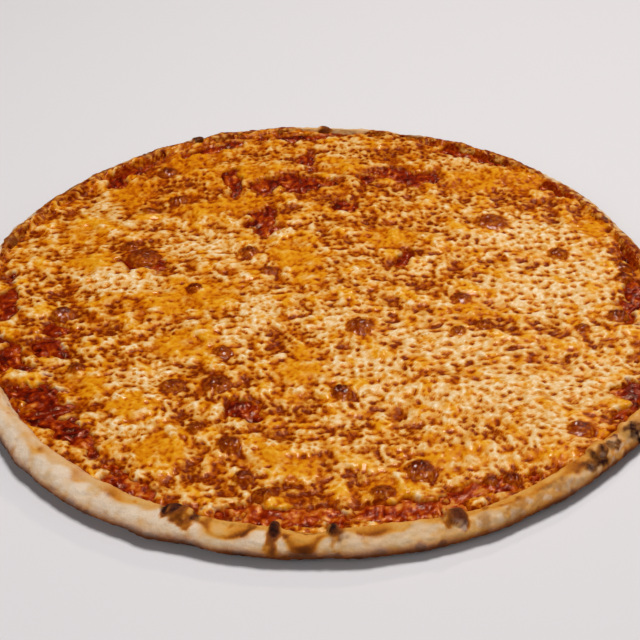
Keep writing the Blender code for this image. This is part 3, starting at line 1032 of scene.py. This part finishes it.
def make_cheese():
    """The sheet of cheese: curds raised, pits and bare patches sunk, and a dome for each blister."""
    x, y, _ = disc_grid(CHEESE_CELLS, cheese_edge)
    angle, radius = np.arctan2(y, x), np.hypot(x, y)
    inward = outer_radius(angle) - radius
    on_rim = inward < rim_width(angle)
    lift = np.clip(dough_top(angle, inward) - CHEESE_TOP, 0, None) * on_rim
    along_slope = 1 + 1.5 * lift / np.maximum(radius, 1)
    f = topping_fields(x * along_slope, y * along_slope)
    cream = step(spots(x, y, CREAM_ZONES, f["rough"]), -0.2, 0.5)
    oil = step(spots(x, y, OIL_ZONES, f["rough"]), -0.2, 0.4)
    brown = np.maximum(step(spots(x, y, BROWN_ZONES, f["rough"]), -0.3, 0.5), 0.8 * f["edge"])
    even = step(spots(x, y, EVEN_ZONES, f["rough"]), -0.2, 0.3)
    tone, grease = cheese_tone(f, cream, oil, brown, even)
    bent = (x * along_slope + 0.5 * f["halo"], y * along_slope + 0.5 * f["patch"])
    away, own = pits(*bent, PIT_SPACING, PIT_SHIFT, PIT_SEED)
    hollow = (0.45 + 0.55 * own) * (0.36 + 0.09 * even - away) / 0.28 - 0.3 * oil * (1 - own)

    # The far side is flatter and more even in tone
    far = step(y, 55, 120)
    tone = tone * (1 - 0.2 * far) + 0.07 * far
    domes, toast, core_and_back_shade = blisters(x, y, f)
    bare = f["bare"] * (1 - step(toast, 0.1, 0.5))
    height = CHEESE_TOP + 0.35 * f["broad"] + 0.25 * f["patch"] + 0.15 * f["halo"]
    height += (0.24 - 0.12 * oil) * (1 - 0.3 * far) * np.tanh(f["curd"]) + 0.06 * f["fine"] - 0.3 * brown
    height += domes - PIT_DEPTH * np.clip(hollow, 0, 1) - BARE_DEPTH * bare
    climb = dough_top(angle, inward) + RIM_FILM + 0.25 * f["curd"]
    height = np.maximum(height, np.where(on_rim, climb, 0))
    from_end = np.clip(1 - (cheese_edge(angle) - radius) / END_LENGTH, 0, 1)
    height -= END_DEPTH * (1 - np.sqrt(1 - from_end**2))
    height = np.maximum(height, CHEESE_FLOOR + 0.2)

    halo = step(toast, 0.0, 0.6)
    small = 0.7 - 0.55 * even - 0.3 * oil - 0.7 * step(lift, 0.3, 1.5)
    fields = {
        "tone": tone - 0.40 * halo,
        "grease": np.clip(np.maximum(grease, 0.9 * halo), 0, 1),
        "toast": step(toast, 0.3, 1.0),
        "core_and_back_shade": core_and_back_shade,
        "bare": bare,
        "pores": np.clip(small, 0, 1),
        "hollow": np.clip(hollow, -1, 1.4) * (1 - halo),
    }
    return make_sheet("cheese_layer", x, y, height, CHEESE_FLOOR, fields)


def pore_pattern(material, where, uneven):
    """How deep each place lies in a pore or a pit, from 0 to 1."""
    # Steam pores about 3.5 mm apart and up to 2 mm wide, which show the browned fat below
    bent = add(material, "TexNoise", Vector=where, Scale=300, Detail=2).outputs["Color"]
    shift = add(material, "VectorMath", {"operation": "SCALE"}, _0=bent, Scale=0.0015).outputs["Vector"]
    place = add(material, "VectorMath", {"operation": "ADD"}, _0=where, _1=shift).outputs["Vector"]
    cells = add(material, "TexVoronoi", {"voronoi_dimensions": "2D"}, Vector=place, Scale=285).outputs
    chance = add(material, "SeparateColor", Color=cells["Color"]).outputs
    edge = span(material, chance["Red"], To_Min=0.05, To_Max=0.28)
    depth = reckon(material, "SUBTRACT", edge, cells["Distance"])
    pore = span(material, depth, From_Min=-0.16, From_Max=0.08)
    pore = reckon(material, "MULTIPLY", pore, span(material, chance["Green"], To_Min=0.45, To_Max=1.0))
    pore = reckon(material, "MULTIPLY", pore, read(material, "pores"))
    # The wider pits, ragged by the grain
    ragged = reckon(material, "SUBTRACT", read(material, "hollow"), uneven)
    return reckon(material, "MAXIMUM", pore, span(material, ragged, From_Max=1.0))


def melted_cheese_finish():
    """Mozzarella: creamy and dense, thinly coated with fat, browner and glossier where it is toasted."""
    material, shader = finish_of("browned melted mozzarella")
    where = add(material, "TexCoord").outputs["Object"]
    grease, toast = read(material, "grease"), read(material, "toast")
    # Curd grain of about 1.6 mm
    grain = noise(material, where, 620, 4, 0.62)
    uneven = span(material, grain, From_Min=0.3, From_Max=0.7, To_Min=-0.11, To_Max=0.11)
    pore = pore_pattern(material, where, uneven)
    # Pores darken dry cheese more than oily cheese
    dark = reckon(material, "MULTIPLY", pore, span(material, grease, To_Min=0.58, To_Max=0.24))
    tone = reckon(material, "SUBTRACT", reckon(material, "ADD", read(material, "tone"), uneven), dark)
    tone = reckon(material, "MAXIMUM", tone, 0.1)
    oily = reckon(material, "ADD", grease, pore, clamp=True)
    colour = cover(material, oily, ramp(material, tone, CURD_COLOURS), ramp(material, tone, FAT_COLOURS))
    film = span(material, read(material, "bare"), From_Min=0.05, From_Max=0.5)
    # The blisters' cores carry painted shade on their far sides
    layers = ((film, BARE_COLOURS), (toast, SKIN_COLOURS), (read(material, "core_and_back_shade"), CORE_AND_SHADE_COLOURS))
    for share, colours in layers:
        colour = cover(material, share, colour, ramp(material, grain, colours))
    relief = reckon(material, "SUBTRACT", grain, pore)
    bump = add(material, "Bump", Height=relief, Strength=0.3, Distance=0.0003)
    # The fat coat is thickest on pale, oily cheese, and the blisters always have one
    wet = reckon(material, "MAXIMUM", grease, toast)
    wet = reckon(material, "SUBTRACT", wet, pore, clamp=True)
    light = span(material, tone, From_Min=0.25, From_Max=0.55, To_Min=0.0, To_Max=0.28)
    bubble = reckon(material, "MULTIPLY", toast, 0.32)
    coat = reckon(material, "MAXIMUM", reckon(material, "MULTIPLY", wet, light), bubble)
    link = material.node_tree.links.new
    link(colour, shader.inputs["Base Color"])
    link(bump.outputs["Normal"], shader.inputs["Normal"])
    link(coat, shader.inputs["Coat Weight"])
    shader.inputs["Roughness"].default_value = 0.32
    shader.inputs["Specular IOR Level"].default_value = 0.18
    shader.inputs["Specular Tint"].default_value = linear("#FFB884")
    shader.inputs["Coat Roughness"].default_value = 0.11
    return material


cheese = make_cheese()
cheese.data.materials.append(melted_cheese_finish())
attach(cheese, "root")
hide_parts("melted_cheese")


# The table, the light and the camera.
# A plain pale surface. Wet places mirror a softbox almost overhead and a small warm window at the back
# right, but not the soft fills from both sides. The camera looks down from the front with a long lens.

# Metres and degrees, but millimetres for the lens and its sensor
FLOOR_SIZE = 6.0
VIEW_DISTANCE = 0.6874
VIEW_DOWN = 37.42
VIEW_ROLL = -1.0
VIEW_TARGET = (0.0001, -0.0022, 0.0)
LENS = 89.74
SENSOR_WIDTH = 36
AMBIENT_STRENGTH = 0.04

# Lights: name, place in metres, size, power, colour, whether wet places mirror it
LIGHTS = (
    ("softbox", (0.12, 0.18, 1.3), 0.34, 13.0, "#FFFDFC", True),
    ("window", (0.60, 0.95, 0.9), 0.10, 2.4, "#FFF2E4", True),
    ("fill", (-0.8, -1.1, 0.9), 1.0, 4.6, "#FFFFFF", False),
    ("side", (1.3, -0.5, 0.9), 1.0, 2.6, "#FFFFFF", False),
)

bpy.ops.mesh.primitive_plane_add(size=FLOOR_SIZE)
floor = bpy.context.object
floor.name = "table_top"
floor_finish, floor_shader = finish_of("pale matt table top")
floor_shader.inputs["Base Color"].default_value = linear("#E6E3E5")
floor_shader.inputs["Roughness"].default_value = 0.8
floor.data.materials.append(floor_finish)
floor.visible_glossy = False

for name, place, size, power, colour, mirrored in LIGHTS:
    lamp = bpy.data.lights.new(name, "AREA")
    lamp.size = size
    lamp.energy = power
    lamp.color = linear(colour)[:3]
    holder = bpy.data.objects.new(name, lamp)
    holder.location = place
    holder.visible_glossy = mirrored
    holder.rotation_euler = (-Vector(place)).to_track_quat("-Z", "Y").to_euler()
    bpy.context.scene.collection.objects.link(holder)

world = bpy.data.worlds.new("studio")
world.use_nodes = True
world.node_tree.nodes["Background"].inputs["Color"].default_value = linear("#F4F4F6")
world.node_tree.nodes["Background"].inputs["Strength"].default_value = AMBIENT_STRENGTH
bpy.context.scene.world = world

lens = bpy.data.cameras.new("camera")
lens.lens = LENS
lens.sensor_width = SENSOR_WIDTH
camera = bpy.data.objects.new("camera", lens)
down = np.radians(VIEW_DOWN)
back = Vector((0, -np.cos(down), np.sin(down))) * VIEW_DISTANCE
turn = Matrix.Rotation(np.pi / 2 - down, 4, "X") @ Matrix.Rotation(np.radians(VIEW_ROLL), 4, "Z")
camera.matrix_world = Matrix.Translation(Vector(VIEW_TARGET) + back) @ turn
bpy.context.scene.collection.objects.link(camera)
bpy.context.scene.camera = camera
bpy.context.scene.view_settings.view_transform = "Standard"
